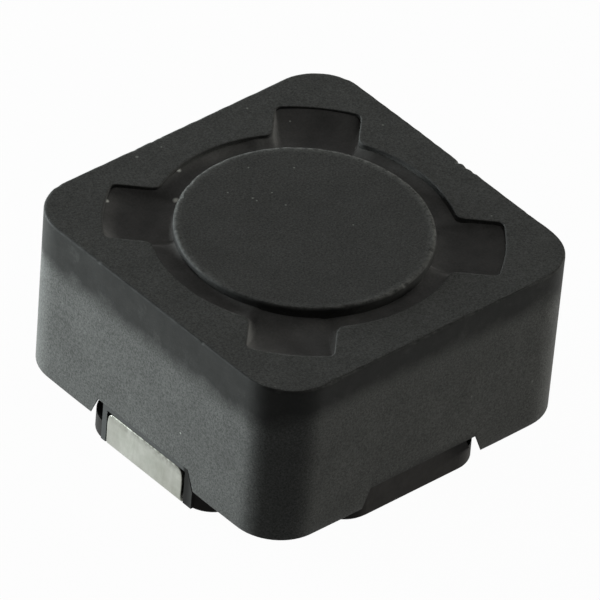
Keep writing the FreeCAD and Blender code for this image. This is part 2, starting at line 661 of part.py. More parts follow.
os.makedirs("parts", exist_ok=True)
for item in doc.Objects:
    if item.TypeId in ("PartDesign::Body", "Part::Feature") and item.getParentGeoFeatureGroup() is None:
        solid = item.Shape
        whole = not solid.isNull() and solid.isValid() and len(solid.Solids) == 1
        assert whole, item.Label + " is not one valid solid"
        solid.exportStep(f"parts/{item.Label}.step")
        box = solid.BoundBox
        print(f"{item.Label:20s} {solid.Volume:9.4f} mm3  x {box.XMin:6.2f} {box.XMax:6.2f}"
              f"  y {box.YMin:6.2f} {box.YMax:6.2f}  z {box.ZMin:5.2f} {box.ZMax:5.2f}")
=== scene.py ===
"""Square shielded power inductor: a wound ferrite drum cast into a notched ferrite ring.

One section for each piece, in the order of assembly. Sizes and places are in millimetres, in the part's
own frame: the board plane is z = 0, X runs through the two terminals and Z is up. They become metres where
a mesh or a pattern is made.
"""

import bmesh
import bpy
import numpy as np
from mathutils import Matrix, Vector


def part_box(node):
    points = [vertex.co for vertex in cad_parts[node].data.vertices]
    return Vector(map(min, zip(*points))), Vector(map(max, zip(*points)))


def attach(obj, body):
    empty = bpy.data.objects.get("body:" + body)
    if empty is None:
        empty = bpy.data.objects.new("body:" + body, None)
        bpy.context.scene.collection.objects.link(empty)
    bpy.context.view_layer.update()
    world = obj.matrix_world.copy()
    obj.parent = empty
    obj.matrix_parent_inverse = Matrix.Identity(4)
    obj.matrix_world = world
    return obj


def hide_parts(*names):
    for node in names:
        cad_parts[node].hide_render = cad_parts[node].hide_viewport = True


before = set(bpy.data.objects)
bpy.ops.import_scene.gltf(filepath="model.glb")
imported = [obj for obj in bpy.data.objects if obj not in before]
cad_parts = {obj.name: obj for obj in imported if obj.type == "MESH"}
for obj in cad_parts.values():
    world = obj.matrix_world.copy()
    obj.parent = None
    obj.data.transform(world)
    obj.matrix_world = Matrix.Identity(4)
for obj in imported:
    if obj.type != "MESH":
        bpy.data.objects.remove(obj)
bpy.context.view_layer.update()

# Drum core
# A ferrite bobbin turned from a pressed and sintered blank: a top disc, a post and a lower disc in one
# piece. Its top disc is ground flat, and grinding and handling have left a pale, slightly chipped rim.

mm = 0.001


def ripple(angle, seed, waves, lowest=1):
    """Random waviness round a circle, about -1 to 1.

    It is a sum of cosines of random size and phase, each with a whole number of waves round the circle.
    """
    random = np.random.default_rng(seed)
    number = np.arange(lowest, lowest + waves)
    size = random.uniform(0.4, 1.0, waves)
    phase = random.uniform(0, 2 * np.pi, waves)
    total = (size * np.cos(np.multiply.outer(angle, number) + phase)).sum(-1)
    usual_peak = np.sqrt((size ** 2).sum() * 1.5)
    return total / usual_peak


def bumps(angle, places):
    """Single dents round a circle: for each (angle in degrees, width in degrees, depth) a bell curve."""
    total = np.zeros_like(angle)
    for where, width, depth in places:
        away = (np.degrees(angle) - where + 180) % 360 - 180
        total = total + depth * np.exp(-(away / width) ** 2)
    return total


def skin(name, points, closed=False, **marks):
    """A piece from a grid of points, rows by columns by 3, in millimetres.

    Each cell joins point (i, j) to (i + 1, j), (i + 1, j + 1) and (i, j + 1). Columns run round and meet,
    and rows do too where closed. Points that coincide are merged, which shuts the poles. Marks such as
    wear, with one number for each point, become attributes that the material reads.
    """
    touching = 0.0004 * mm
    sharp_from = np.radians(40)
    rows, columns = points.shape[:2]
    i = np.arange(rows if closed else rows - 1)[:, None]
    j = np.arange(columns)[None, :]
    after, beside = (i + 1) % rows, (j + 1) % columns
    corners = [i * columns + j, i * columns + beside, after * columns + beside, after * columns + j]
    cells = np.stack(corners, -1).reshape(-1, 4)
    mesh = bpy.data.meshes.new(name)
    mesh.vertices.add(rows * columns)
    mesh.vertices.foreach_set("co", (points.reshape(-1, 3) * mm).astype(np.float32).ravel())
    mesh.loops.add(cells.size)
    mesh.loops.foreach_set("vertex_index", cells.ravel().astype(np.int32))
    mesh.polygons.add(len(cells))
    mesh.polygons.foreach_set("loop_start", np.arange(0, cells.size, 4, dtype=np.int32))
    mesh.update(calc_edges=True)
    for mark, strength in marks.items():
        values = mesh.attributes.new(mark, "FLOAT", "POINT").data
        values.foreach_set("value", strength.ravel().astype(np.float32))
    shell = bmesh.new()
    shell.from_mesh(mesh)
    bmesh.ops.remove_doubles(shell, verts=shell.verts, dist=touching)
    bmesh.ops.dissolve_degenerate(shell, edges=shell.edges, dist=touching)
    bmesh.ops.recalc_face_normals(shell, faces=shell.faces)
    for face in shell.faces:
        face.smooth = True
    shell.to_mesh(mesh)
    shell.free()
    mesh.set_sharp_from_angle(angle=sharp_from)
    piece = bpy.data.objects.new(name, mesh)
    bpy.context.scene.collection.objects.link(piece)
    return piece


def lathe(profile, angle):
    """Points of a turned form: at each angle, a ring's point is (radius * cosine, radius * sine, height).

    The profile is a list of (radius, height). Each may be a number, a column with a row for each of
    several rings, or an array with a value for each angle.
    """
    rings = [np.broadcast_arrays(radius, height, angle) for radius, height in profile]
    radius, height, angle = (np.vstack(part) for part in zip(*rings))
    return np.stack([radius * np.cos(angle), radius * np.sin(angle), height], -1)


def material(name, **sockets):
    """A new material with these values on its shader's sockets, with its node tree and its shader."""
    made = bpy.data.materials.new(name)
    made.use_nodes = True
    shader = made.node_tree.nodes["Principled BSDF"]
    for socket, value in sockets.items():
        shader.inputs[socket.replace("_", " ")].default_value = value
    return made, made.node_tree, shader


def node(tree, kind, settings=(), **inputs):
    """A shader node. Settings are its own options.

    Each input takes a number, a colour or another node's socket, and is named, or numbered as in i0 or i1.
    """
    made = tree.nodes.new("ShaderNode" + kind)
    for key, value in dict(settings).items():
        setattr(made, key, value)
    for key, value in inputs.items():
        numbered = key[0] == "i" and key[1:].isdigit()
        socket = made.inputs[int(key[1:]) if numbered else key]
        if isinstance(value, bpy.types.NodeSocket):
            tree.links.new(value, socket)
        else:
            socket.default_value = value
    return made


def place_of(tree):
    """The point on the piece, in metres."""
    return node(tree, "TexCoord").outputs["Object"]


def mark_of(tree, name):
    """One of the marks that were put on the piece's points, such as wear."""
    return node(tree, "Attribute", {"attribute_name": name}).outputs["Fac"]


def noise(tree, grain, detail=2.0, rough=0.5):
    """Noise whose features are about this many millimetres across."""
    settings = {"Vector": place_of(tree), "Scale": 1 / (grain * mm), "Detail": detail, "Roughness": rough}
    return node(tree, "TexNoise", **settings).outputs["Fac"]


def ramp(tree, fac, low, high, bottom=0.0, top=1.0):
    """Stretches a value's part from low to high over the range from bottom to top, and stops at both."""
    limits = {"From Min": low, "From Max": high, "To Min": bottom, "To Max": top}
    return node(tree, "MapRange", Value=fac, **limits).outputs[0]


def math(tree, operation, a, b=0.0):
    """One sum, product or the like of two values."""
    return node(tree, "Math", {"operation": operation}, i0=a, i1=b).outputs[0]


def mix(tree, fac, a, b, blend="MIX"):
    """Colour a where fac is 0 and colour b where it is 1."""
    return node(tree, "Mix", {"data_type": "RGBA", "blend_type": blend}, i0=fac, i6=a, i7=b).outputs[2]


def specks(tree, spacing, size, share):
    """Scattered grains: dots of this size in millimetres, in that share of cells one spacing wide."""
    cells = node(tree, "TexVoronoi", Vector=place_of(tree), Scale=1 / (spacing * mm))
    dot = ramp(tree, cells.outputs["Distance"], size / spacing, 0.4 * size / spacing)
    chosen = node(tree, "SeparateColor", Color=cells.outputs["Color"])
    return math(tree, "MULTIPLY", dot, math(tree, "GREATER_THAN", chosen.outputs[0], 1 - share))


def spots(tree, places):
    """Single grains at (x, y, z, radius): 1 in the middle, falling to 0 a little outside the radius."""
    total = 0.0
    for x, y, z, radius in places:
        centre = (x * mm, y * mm, z * mm)
        away = node(tree, "VectorMath", {"operation": "DISTANCE"}, i0=place_of(tree), i1=centre)
        dot = ramp(tree, away.outputs["Value"], 1.3 * radius * mm, 0.5 * radius * mm)
        total = math(tree, "MAXIMUM", dot, total)
    return total


def ferrite(name, tone, rough, grains):
    """Sintered ferrite: charcoal with fine grain, soft mottling and pale specks, some at given places.

    It is paler in patches where worn, and darker, with a ragged edge, for polish and mostly painted shade.
    """
    darkest, palest, die_polished = ([share * v for v in tone] + [1] for share in (0.45, 1.62, 0.28))
    pale_speck = (0.26, 0.27, 0.25, 1)
    pale_grain = (0.3, 0.31, 0.28, 1)
    bare = (0.26, 0.265, 0.25, 1)
    made, tree, shader = material(name, Roughness=rough, Specular_IOR_Level=0.05)
    fine = noise(tree, 0.065, 4.0, 0.8)
    broad = noise(tree, 1.1, 3.0)
    colour = mix(tree, ramp(tree, fine, 0.32, 0.68), darkest, palest)
    colour = mix(tree, 1.0, colour, ramp(tree, broad, 0.3, 0.7, 0.92, 1.08), "MULTIPLY")
    dots = math(tree, "ADD", specks(tree, 0.95, 0.055, 0.4), specks(tree, 2.6, 0.085, 0.3))
    colour = mix(tree, math(tree, "MULTIPLY", dots, 0.5), colour, pale_speck)
    # darker where the next mark is: a little polish, and mostly painted shade under edges, on lips and on
    # walls
    polished = mark_of(tree, "polish")
    uneven = ramp(tree, noise(tree, 0.8, 4.0, 0.65), 0.3, 0.7, -0.3, 0.3)
    polished = math(tree, "ADD", polished, math(tree, "MULTIPLY", polished, uneven))
    cloudy = ramp(tree, noise(tree, 0.5, 4.0, 0.6), 0.3, 0.7, 0.86, 1.0)
    polished = math(tree, "MULTIPLY", ramp(tree, polished, 0.1, 0.85), cloudy)
    colour = mix(tree, polished, colour, die_polished)
    colour = mix(tree, spots(tree, grains), colour, pale_grain)
    patchy = ramp(tree, noise(tree, 0.16, 4.0, 0.7), 0.36, 0.6)
    colour = mix(tree, math(tree, "MULTIPLY", mark_of(tree, "wear"), patchy), colour, bare)
    tree.links.new(colour, shader.inputs["Base Color"])
    relief = node(tree, "Bump", Height=fine, Strength=0.35, Distance=0.012 * mm)
    relief = node(tree, "Bump", Height=broad, Strength=0.25, Distance=0.04 * mm, Normal=relief.outputs[0])
    tree.links.new(relief.outputs[0], shader.inputs["Normal"])
    return made


drum_low, drum_high = (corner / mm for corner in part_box("drum_core"))
disc = drum_high.x
disc_top = drum_high.z
disc_thick = 1.0
disc_under = disc_top - disc_thick
lower_disc_top = drum_low.z + disc_thick
burr = 0.03
post = 2.3
wire = 0.4
lead_x = 3.82
lead_room = 0.3
groove_deep = wire + 0.1
around = np.linspace(0, 2 * np.pi, 480, endpoint=False)

# the top edge's rounding, four fifths as deep as it is wide, with its chips at (degrees, width in degrees,
# depth); the flat's last ring lies close to it, so that the rubbing fades out over a narrow band
disc_edge = 0.095
edge_depth = 0.8
edge_waver = 0.012
edge_chips = [(-53, 2, 0.08), (-63, 1.5, 0.05), (-81, 1.2, 0.08), (-89, 2.5, 0.05),
              (111, 2, 0.04), (122, 1.5, 0.1), (-112, 3, 0.04)]
worn_edge = disc_edge + edge_waver * ripple(around, 3, 40, 8) + bumps(around, edge_chips)
edge_sweep = np.radians([90, 72, 54, 36, 18, 0])[:, None]
rub_from, last_ring = 0.3, 0.16
flat = np.append(np.linspace(0, disc - rub_from, 13), disc - last_ring)

# the lower disc's rim steps in at the two wire notches: it follows their side walls and their inner end,
# and a groove in its top leads the first turn out to one of them
side = np.abs(np.sin(around)) + 1e-9
notch_end = (lead_x - lead_room) / np.abs(np.cos(around)).clip(1e-3)
rim = np.minimum(disc, np.maximum(lead_room / side, notch_end))
ledge_from = post + 0.01
ledge = ledge_from + np.linspace(0, 1, 10)[:, None] * (rim - ledge_from)
in_groove = (np.cos(around) < 0) & (ledge * side < lead_room)
edge_down = edge_depth * worn_edge * (1 - np.sin(edge_sweep))
points = lathe([
    (flat[:, None], disc_top),
    (disc - worn_edge * (1 - np.cos(edge_sweep)), disc_top - edge_down),
    (disc, disc_under + burr), (disc - burr, disc_under),
    (post, disc_under), (post, lower_disc_top),
    (ledge, lower_disc_top - np.where(in_groove, groove_deep, 0)),
    (rim, drum_low.z), (0.5 * rim, drum_low.z), (0, drum_low.z)], around)

# how pale each stretch of the rim is rubbed, and how the marks run over the rows of its rounded edge
rub = 0.36 + 0.14 * ripple(around, 5, 9, 2) + bumps(around, [
    (-35, 16, 0.3), (-80, 20, 0.3), (15, 32, 0.4), (85, 30, 0.2), (120, 10, 0.15), (195, 40, -0.16)])
edge_end = len(flat) + len(edge_sweep)
rubbed = np.zeros(points.shape[:2])
rubbed[len(flat) - 2:edge_end] = np.array([0, 0.6, 1, 1, 0.6, 0.3, 0.1, 0])[:, None] * rub
# the rounded edge is darkened too: painted shade that dulls the light its rounding catches
burnished_and_shaded = np.zeros(points.shape[:2])
burnished_and_shaded[len(flat):edge_end] = np.array([0, 0.4, 0.8, 1, 1, 1])[:, None]
drum = skin("drum", points, wear=rubbed, polish=burnished_and_shaded)
drum_grains = [(-0.36, 2.07, disc_top, 0.035), (-0.34, 1.9, disc_top, 0.03), (0.25, 1.2, disc_top, 0.03),
               (0.31, 1.93, disc_top, 0.03), (1.7, 2.48, disc_top, 0.03), (0.54, 3.32, disc_top, 0.03),
               (-0.81, 2.74, disc_top, 0.03), (1.3, -0.8, disc_top, 0.03)]
drum.data.materials.append(ferrite("ground drum ferrite", (0.072, 0.0725, 0.069), 0.62, drum_grains))
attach(drum, "root")
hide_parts("drum_core")

# Winding
# Enamelled copper wire wound round the drum's post in tight layers; the outermost layer shows its turns.
# The enamel is clear and red-brown, so the copper under it gives a warm metal sheen.

coil_low, coil_high = (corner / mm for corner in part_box("winding"))
turns = 9
rows_a_turn = 14
coil_clear = 0.02
coil_inner = post + 0.05
crown_share = 0.98
coil_turn = np.linspace(0, 2 * np.pi, 144, endpoint=False)
level = np.linspace(0, 1, turns * rows_a_turn + 1)[:, None]

# each turn's crown is nearly half a round wire, and the turns climb one wire's width in a full circle
phase = (level * turns - coil_turn / (2 * np.pi)) % 1
crown = coil_high.x - wire / 2 + np.sqrt((wire / 2) ** 2 - ((phase - 0.5) * wire * crown_share) ** 2)
rise = coil_low.z + coil_clear + level * (coil_high.z - coil_low.z - 2 * coil_clear)
coil = lathe([(coil_inner, coil_low.z + coil_clear), (crown, rise), (coil_inner, coil_high.z - coil_clear)],
             coil_turn)
winding = skin("copper_winding", coil, closed=True)


def enamelled_copper():
    """Copper under clear red-brown enamel, a little uneven in tone from turn to turn."""
    dark, light = (0.42, 0.15, 0.06, 1), (0.62, 0.27, 0.12, 1)
    finish = {"Metallic": 0.85, "Roughness": 0.32, "Coat_Weight": 0.6, "Coat_Roughness": 0.12}
    made, tree, shader = material("enamelled copper", **finish)
    colour = mix(tree, ramp(tree, noise(tree, 0.9, 3.0), 0.3, 0.7), dark, light)
    tree.links.new(colour, shader.inputs["Base Color"])
    return made


copper = enamelled_copper()
winding.data.materials.append(copper)
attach(winding, "root")
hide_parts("winding")

# Lead wires
# The coil's two ends, the same round wire: each bends down through a notch of the lower disc,
# passes through the base and bends out along the terminal's foot, where it is soldered.


def runs(corners, radii, steps=12):
    """A path through corners in millimetres, each rounded by a quarter circle of its radius.

    On a corner the path is start + radius * (sin a * way in + (1 - cos a) * way out), for a from 0 to 90
    degrees.
    """
    corners = np.array(corners, float)
    path = [corners[:1]]
    bend = np.linspace(0, np.pi / 2, steps)[:, None]
    for i, radius in enumerate(radii, 1):
        way_in = corners[i] - corners[i - 1]
        way_out = corners[i + 1] - corners[i]
        way_in, way_out = way_in / np.linalg.norm(way_in), way_out / np.linalg.norm(way_out)
        start = corners[i] - radius * way_in
        path.append(start + radius * (np.sin(bend) * way_in + (1 - np.cos(bend)) * way_out))
    path.append(corners[-1:])
    return np.concatenate(path)


def tube(path, radius, sides=24):
    """A round section carried along a path: centre + radius * (cos a * first axis + sin a * second axis).

    The two axes are square to the path at each point, and the ends are shut by rings of no radius.
    """
    ahead = np.gradient(path, axis=0)
    ahead /= np.linalg.norm(ahead, axis=1, keepdims=True)
    first = np.cross(ahead, np.where(np.abs(ahead[:, 1:2]) > 0.8, [[1, 0.2, 0.3]], [[0.0, 1.0, 0.0]]))
    for i in range(1, len(path)):
        carried = first[i - 1] - ahead[i] * (first[i - 1] @ ahead[i])
        first[i] = carried / np.linalg.norm(carried)
    first[0] /= np.linalg.norm(first[0])
    second = np.cross(ahead, first)
    a = np.linspace(0, 2 * np.pi, sides, endpoint=False)[:, None]
    rings = path[:, None] + radius * (np.cos(a) * first[:, None] + np.sin(a) * second[:, None])
    ends = [np.repeat(path[k][None, None], sides, 1) for k in (0, -1)]
    return np.concatenate([ends[0], rings, ends[1]])


seat = 0.43
tail = 4.84
lead_bend = 0.4
first_turn = 2.55
first_bend = 0.25
groove_level = 1.85
last_turn = 3.8
last_turn_level = 2.55
start_path = runs([(-first_turn, 0, 2.2), (-first_turn, 0, groove_level), (-lead_x, 0, groove_level),
                   (-lead_x, 0, seat), (-tail, 0, seat)], [first_bend, lead_bend, lead_bend])
finish_arc = np.radians(np.linspace(-66.0, -6.0, 24))
hug = np.full((len(finish_arc), 3), last_turn_level)
hug[:, 0] = last_turn * np.cos(finish_arc)
hug[:, 1] = last_turn * np.sin(finish_arc)
drop = runs([hug[-1], (lead_x, 0, last_turn_level), (lead_x, 0, seat), (tail, 0, seat)],
            [lead_bend, lead_bend])
finish_path = np.concatenate([hug[:-1], drop[1:]])
for name, path, cad_name in (("start_wire", start_path, "lead_wire_start"),
                             ("finish_wire", finish_path, "lead_wire_finish")):
    lead = skin(name, tube(path, wire / 2))
    lead.data.materials.append(copper)
    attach(lead, "root")
    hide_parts(cad_name)

# Base plate
# Black heat-resistant moulding. Its four ends rise in tabs that enter the shield's slots, and two of them
# carry the terminals. The moulding's own surface is satin, with flow marks and a little dust.


def moulding():
    """Black plastic: greyer on the two plain ends; on the other two, the blocks' faces get painted light, a
    strip of painted shadow beside the terminal, and a plain tone by the corner.
    """
    middle_tone, plain_end = (0.019, 0.018, 0.017, 1), (0.036, 0.034, 0.032, 1)
    in_shade, by_corner, lit = (0.013, 0.013, 0.012, 1), (0.037, 0.037, 0.035, 1), (0.066, 0.067, 0.065, 1)
    dust = (0.2, 0.2, 0.18, 1)
    made, tree, shader = material("black moulding", Roughness=0.6, Specular_IOR_Level=0.05)
    flow = noise(tree, 0.35, 4.0, 0.6)
    apart = node(tree, "SeparateXYZ", Vector=place_of(tree))
    along_x, along_y = apart.outputs["X"], apart.outputs["Y"]
    on_plain_end = ramp(tree, math(tree, "ABSOLUTE", along_y), 4.5 * mm, 5.5 * mm)
    colour = mix(tree, on_plain_end, middle_tone, plain_end)
    colour = mix(tree, 1.0, colour, ramp(tree, flow, 0.3, 0.7, 0.8, 1.2), "MULTIPLY")
    on_block = ramp(tree, math(tree, "ABSOLUTE", along_x), 6.13 * mm, 6.145 * mm)
    # painted shadow of the terminal on the strip along its -Y edge, the plain tone past it, painted light
    # elsewhere
    block_light_and_shade = mix(tree, ramp(tree, along_y, -2.15 * mm, -2.42 * mm), in_shade, by_corner)
    block_light_and_shade = mix(tree, ramp(tree, along_y, -1.98 * mm, -1.9 * mm), block_light_and_shade, lit)
    colour = mix(tree, on_block, colour, block_light_and_shade)
    colour = mix(tree, math(tree, "MULTIPLY", specks(tree, 0.7, 0.03, 0.35), 0.4), colour, dust)
    tree.links.new(colour, shader.inputs["Base Color"])
    relief = node(tree, "Bump", Height=flow, Strength=0.3, Distance=0.02 * mm)
    tree.links.new(relief.outputs[0], shader.inputs["Normal"])
    return made


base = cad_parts["base_plate"]
base.data.materials.clear()
base.data.materials.append(moulding())

# Adhesive
# A thin layer of dark epoxy glue that holds the drum on the base's boss.
# It was pressed out flat under the lower disc, and set with a slight gloss.

glue, tree, shader = material("dark glue", Roughness=0.28)
dark, light = (0.05, 0.045, 0.04, 1), (0.085, 0.075, 0.065, 1)
colour = mix(tree, ramp(tree, noise(tree, 0.5), 0.3, 0.7), dark, light)
tree.links.new(colour, shader.inputs["Base Color"])
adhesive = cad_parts["core_adhesive"]
adhesive.data.materials.clear()
adhesive.data.materials.append(glue)

# Terminals
# Two strips of copper-alloy sheet, stamped, bent once and plated with matte tin.
# Each lies in a recess of the base, with its upright on the base's end and its foot on the board.

sheet_thick = 0.2
sheet_edge = 0.03
bend_radius = 0.15
upright_round = 0.3
foot_taper = 0.25
side_waver = 0.012


def tinned():
    """Matte tin: pale and faintly green, with drawn streaks, stains, small dull marks and a few dark pits.

    It is darker towards its +Y end, and dark and nibbled where the cut mark is: bare metal and painted
    shade.
    """
    dark, light = (0.34, 0.355, 0.312, 1), (0.43, 0.443, 0.4, 1)
    streaked, stained, darker_side = (0.25, 0.26, 0.22, 1), (0.24, 0.235, 0.2, 1), (0.2, 0.2, 0.17, 1)
    pit, cut_metal = (0.12, 0.12, 0.1, 1), (0.08, 0.078, 0.066, 1)
    made, tree, shader = material("matte tin", Metallic=0.9, Roughness=0.36)
    cloud = noise(tree, 0.5, 4.0, 0.6)
    drawn = node(tree, "Mapping", Vector=place_of(tree), Scale=(1, 1, 0.12)).outputs[0]
    streak = node(tree, "TexNoise", Vector=drawn, Scale=1 / (0.09 * mm), Detail=3.0).outputs["Fac"]
    colour = mix(tree, ramp(tree, cloud, 0.35, 0.7), dark, light)
    colour = mix(tree, ramp(tree, streak, 0.62, 0.8, 0, 0.5), colour, streaked)
    colour = mix(tree, specks(tree, 0.42, 0.05, 0.35), colour, pit)
    colour = mix(tree, ramp(tree, noise(tree, 1.3, 3.0), 0.5, 0.75, 0, 0.3), colour, stained)
    along_y = node(tree, "SeparateXYZ", Vector=place_of(tree)).outputs["Y"]
    # darker towards the +Y end
    colour = mix(tree, ramp(tree, along_y, 0.7 * mm, 1.75 * mm, 0, 0.42), colour, darker_side)
    nibbled = ramp(tree, noise(tree, 0.17, 3.0, 0.6), 0.4, 0.6, 0.5, 1.3)
    # the sheet's cut sides: partly bare cut metal, partly painted shade for the dark they reflect; also the
    # sheared end
    colour = mix(tree, math(tree, "MULTIPLY", mark_of(tree, "cut"), nibbled), colour, cut_metal)
    tree.links.new(colour, shader.inputs["Base Color"])
    tree.links.new(ramp(tree, streak, 0.3, 0.7, 0.32, 0.46), shader.inputs["Roughness"])
    relief = node(tree, "Bump", Height=cloud, Strength=0.4, Distance=0.02 * mm)
    tree.links.new(relief.outputs[0], shader.inputs["Normal"])
    return made


def strip(path, square, half_width, half_thick, edge):
    """A flat section carried along a path in the XZ plane, and a mark that is strongest on its two sides.

    At each station the section is a rectangle with rounded edges: half_width along Y and half_thick along
    the path's square, both set station by station, so that the ends can taper and close.
    """
    quarter = np.linspace(0, np.pi / 2, 4)
    corner = np.concatenate([quarter + k * np.pi / 2 for k in range(4)])
    quadrant = np.pi / 4 + np.floor(np.arange(16) / 4) * np.pi / 2
    y = np.sign(np.cos(quadrant)) * (half_width[:, None] - edge).clip(0) + edge * np.cos(corner)
    t = np.sign(np.sin(quadrant)) * (half_thick[:, None] - edge).clip(0) + edge * np.sin(corner)
    t = t * np.minimum(1, half_thick[:, None] / edge)
    points = np.zeros(y.shape + (3,))
    points[..., 0] = path[:, :1] + t * square[:, :1]
    points[..., 1] = y
    points[..., 2] = path[:, 1:] + t * square[:, 1:]
    ends = [np.repeat(points[k].mean(0)[None, None], 16, 1) for k in (0, -1)]
    # the mark on the two sides: bare cut metal, and painted shade for the dark those edges reflect
    cut = np.tile(0.85 * np.cos(corner) ** 4, (len(points) + 2, 1))
    return np.concatenate([ends[0], points, ends[1]]), cut


def fall(depth, radius):
    """How far a rounded corner of this radius has dropped back, at this depth from the end it rounds."""
    return radius - np.sqrt((radius ** 2 - (radius - depth.clip(0, radius)) ** 2).clip(0))


tin = tinned()
for name, cad_name, way in (("left_terminal", "terminal_left", -1),
                            ("right_terminal", "terminal_right", 1)):
    low, high = (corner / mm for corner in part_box(cad_name))
    upright_x = max(abs(low.x), abs(high.x)) - sheet_thick / 2
    tip = min(abs(low.x), abs(high.x))
    from_top = np.array([0, 0.004, 0.012, 0.022, 0.04, 0.08, 0.14, 0.21, 0.3, 0.5, 0.7])
    bend = np.linspace(0, np.pi / 2, 10)
    from_tip = np.array([1.6, 1.2, 0.8, 0.4, 0.25, 0.18, 0.11, 0.05, 0.02, 0.008, 0])
    foot_level = sheet_thick / 2
    bend_x = upright_x - bend_radius * (1 - np.cos(bend))
    bend_z = foot_level + bend_radius * (1 - np.sin(bend))
    path = np.concatenate([
        np.stack([0 * from_top + upright_x, high.z - from_top], -1), np.stack([bend_x, bend_z], -1),
        np.stack([tip + from_tip, 0 * from_tip + foot_level], -1)])
    square = np.concatenate([
        np.tile([1.0, 0.0], (len(from_top), 1)), np.stack([np.cos(bend), -np.sin(bend)], -1),
        np.tile([0.0, -1.0], (len(from_tip), 1))])
    half = (high.y - low.y) / 2
    width = np.concatenate([
        half - fall(from_top, upright_round), 0 * bend + half,
        half - foot_taper + from_tip.clip(0, foot_taper)])
    from_end = np.concatenate([from_top, 0 * bend + 1, from_tip])
    points, cut = strip(path, square, width, sheet_thick / 2 - fall(from_end, sheet_edge), sheet_edge)
    # the stamped sides waver a little, and the upright's end is dulled where it was sheared off
    points[..., 1] += side_waver * np.sin(points[..., 2] * 9 + 1) * np.sign(points[..., 1])
    points[..., 1] += (low.y + high.y) / 2
    points[..., 0] *= way
    sheared = np.interp(points[..., 2], [high.z - 0.3, high.z - 0.1, high.z - 0.02], [0, 0.35, 0.6])
    terminal = skin(name, points, cut=np.maximum(cut, sheared))
    terminal.data.materials.append(tin)
    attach(terminal, "root")
    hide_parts(cad_name)

# Solder joints
# A little hand-flowed solder over each wire end, in the well between the foot and the base.
# Each is a low hump, steep over the wire and thin at its edges, with a dull skin.

solder_metal, tree, shader = material("dull solder", Metallic=0.8, Roughness=0.36)
dark, light = (0.5, 0.51, 0.5, 1), (0.66, 0.66, 0.64, 1)
colour = mix(tree, ramp(tree, noise(tree, 0.2, 3.0), 0.3, 0.7), dark, light)
tree.links.new(colour, shader.inputs["Base Color"])
for name, cad_name, way in (("left_solder", "solder_joint_left", -1),
                            ("right_solder", "solder_joint_right", 1)):
    low, high = (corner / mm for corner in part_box(cad_name))
    near, far = sorted((abs(low.x), abs(high.x)))
    # along runs down the wire from 0 to 1 and wide across it from -1 to 1; the height is a blunt arch
    # along the wire times a bell curve across it, and the width grows by a fifth with the arch
    along = np.linspace(0, 1, 25)[:, None]
    wide = np.linspace(-1, 1, 41)[None, :]
    arch = (1 - (2 * along - 1) ** 6).clip(0) ** 0.35
    bell = np.exp(-(np.abs(wide) / 0.55) ** 2.6)
    hump = low.z + (high.z - low.z) * arch * bell * (1 - wide ** 8)
    top = np.stack([near + (far - near) * along + 0 * wide, high.y * (0.8 + 0.2 * arch) * wide, hump], -1)
    under = top[:, ::-1].copy()
    under[..., 2] = low.z
    points = np.concatenate([top, under[:, 1:-1]], 1)
    ends = [np.repeat(points[k].mean(0)[None, None], points.shape[1], 1) for k in (0, -1)]
    points = np.concatenate([ends[0], points, ends[1]])
    points[[0, -1], :, 2] = low.z
    points[..., 0] *= way
    joint = skin(name, points)
    joint.data.materials.append(solder_metal)
    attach(joint, "root")
    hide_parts(cad_name)

# Shield
# A square ferrite ring, pressed, sintered and ground, glued over the base's tabs by its four lower slots.
# Its bore has a notch in each corner. The top outer edge is worn, wavy and chipped in places.

shield_low, shield_high = (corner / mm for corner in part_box("shield_core"))
shield_top = shield_high.z
half_side = 6.2483
corner_radius = 1.7
lean = 0.07
bore = 4.85
notch_half = 1.35
notch_wall = 6.27
notch_lip = 0.32
notch_round = 0.22
slot_foot, slot_roof, slot_height = 2.45, 2.17, 0.68
# the slots' end walls flare by this much towards the bore, so that light comes in past the base's ends
flare = 0.7


def bore_edge(y):
    """X for a given Y of the notched bore's outline, in the octant from a side's middle to the diagonal.

    It is a circle, a rounded lip, the notch's straight side, its rounded corner and its concentric outer
    wall. With s along the diagonal and q across it, x = (s + q) / sqrt 2 and y = (s - q) / sqrt 2.
    """
    lip_q, lip_r = notch_half + notch_lip, bore + notch_lip
    lip_s = np.sqrt(lip_r ** 2 - lip_q ** 2)
    end_q, end_r = notch_half - notch_round, notch_wall - notch_round
    end_s = np.sqrt(end_r ** 2 - end_q ** 2)
    lip_tilt, end_tilt = np.arctan2(lip_q, lip_s), np.arctan2(end_q, end_s)
    s, q = [], []
    for centre_s, centre_q, radius, start, end, steps in (
            (0, 0, bore, np.pi / 4, lip_tilt, 60),
            (lip_s, lip_q, notch_lip, np.pi + lip_tilt, 1.5 * np.pi, 20),
            (end_s, end_q, notch_round, np.pi / 2, end_tilt, 20),
            (0, 0, notch_wall, end_tilt, 0, 30)):
        arc = np.linspace(start, end, steps)
        s.append(centre_s + radius * np.cos(arc))
        q.append(centre_q + radius * np.sin(arc))
    s, q = np.concatenate(s), np.concatenate(q)
    return np.interp(y, (s - q) / np.sqrt(2), (s + q) / np.sqrt(2))


def ring(octant):
    """The whole ring from one octant's points: each second octant is the first mirrored in the diagonal."""
    quarter = np.concatenate([octant[:-1], octant[::-1, ::-1][:-1]])
    turned = [quarter]
    for _ in range(3):
        turned.append(np.stack([-turned[-1][:, 1], turned[-1][:, 0]], -1))
    return np.concatenate(turned)


# stations of one octant, closest together in the slot's slanted end and where the bore's outline bends
diagonal = notch_wall / np.sqrt(2)
bend_from, bend_to = 3.2, 3.56
inside_y = np.concatenate([
    np.linspace(0, slot_roof + flare, 34, endpoint=False),
    np.linspace(slot_roof + flare, slot_foot + flare, 13, endpoint=False),
    np.linspace(slot_foot + flare, bend_from, 8, endpoint=False),
    np.linspace(bend_from, bend_to, 14, endpoint=False),
    np.linspace(bend_to, diagonal, 14)])
inside = np.stack([bore_edge(inside_y), inside_y], -1)

